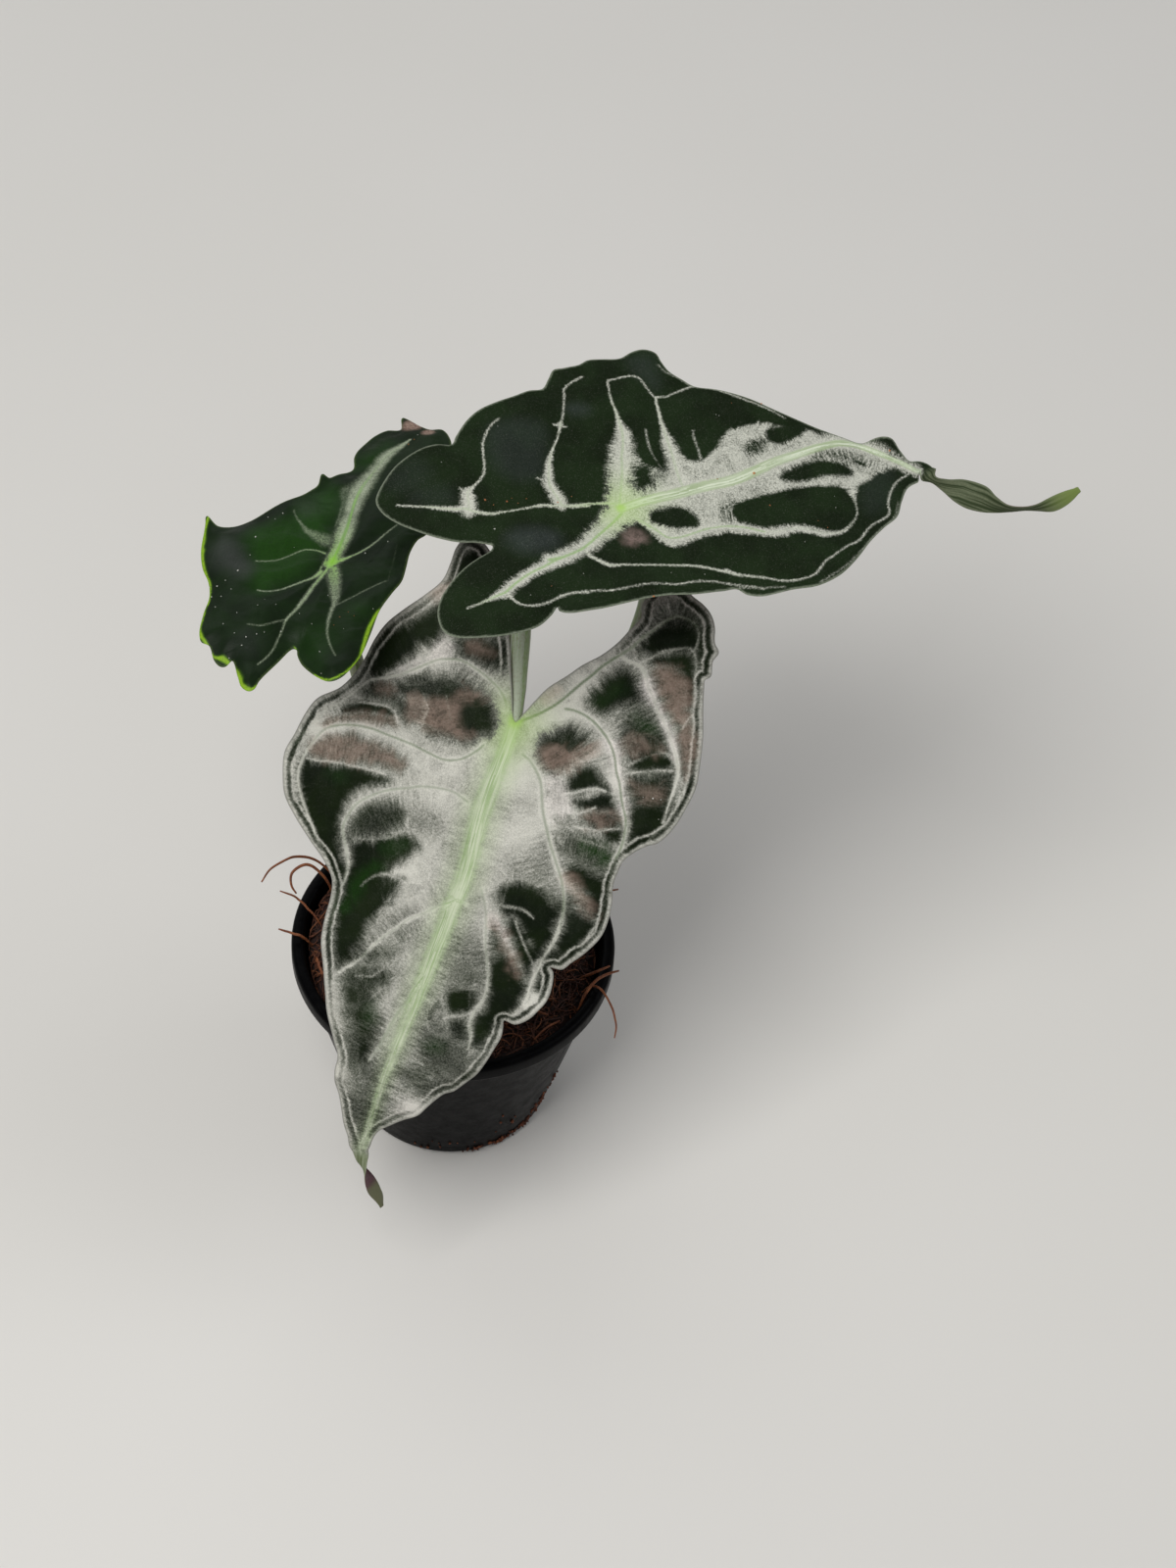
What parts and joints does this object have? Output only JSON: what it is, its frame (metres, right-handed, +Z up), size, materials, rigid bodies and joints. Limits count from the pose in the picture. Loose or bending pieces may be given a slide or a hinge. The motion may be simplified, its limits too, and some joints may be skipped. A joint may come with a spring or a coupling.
{
  "type": "potted venom alocasia",
  "caption": "Young potted alocasia: silver-veined arrow-shaped leaves with twisted tips on arching stalks, growing from coir in a small tapered black nursery pot.",
  "frame": {"origin": "centre of the pot's flat underside", "axes": "+Z up out of the pot; seen from the front, where the big leaf hangs over the rim, +X is right and +Y is back"},
  "size_m": [0.1793, 0.1311, 0.1592],
  "materials": {
    "pot_plastic": "satin",
    "coir": "matte",
    "coir_strand": "matte",
    "crown_tissue": "satin",
    "stalk": "satin",
    "papery_sheath": "matte",
    "leaf_silver": "satin",
    "leaf_dark": "satin",
    "leaf_glossy": "gloss"
  },
  "bodies": {
    "root": {"pot": "pot_plastic", "coir_plug": "coir", "crown": "crown_tissue", "leaf_front": "leaf_silver", "leaf_top": "leaf_dark", "leaf_left": "leaf_glossy", "petiole_front": "stalk", "petiole_top": "stalk", "petiole_left": "stalk", "sheath_right": "papery_sheath", "sheath_left": "papery_sheath", "coir_fibre_01": "coir_strand", "coir_fibre_02": "coir_strand", "coir_fibre_03": "coir_strand", "coir_fibre_04": "coir_strand", "coir_fibre_05": "coir_strand", "coir_fibre_06": "coir_strand", "coir_fibre_07": "coir_strand", "coir_fibre_08": "coir_strand", "coir_fibre_09": "coir_strand", "coir_fibre_10": "coir_strand", "coir_fibre_11": "coir_strand", "coir_fibre_12": "coir_strand", "coir_fibre_13": "coir_strand", "coir_fibre_14": "coir_strand"}
  },
  "joints": []
}
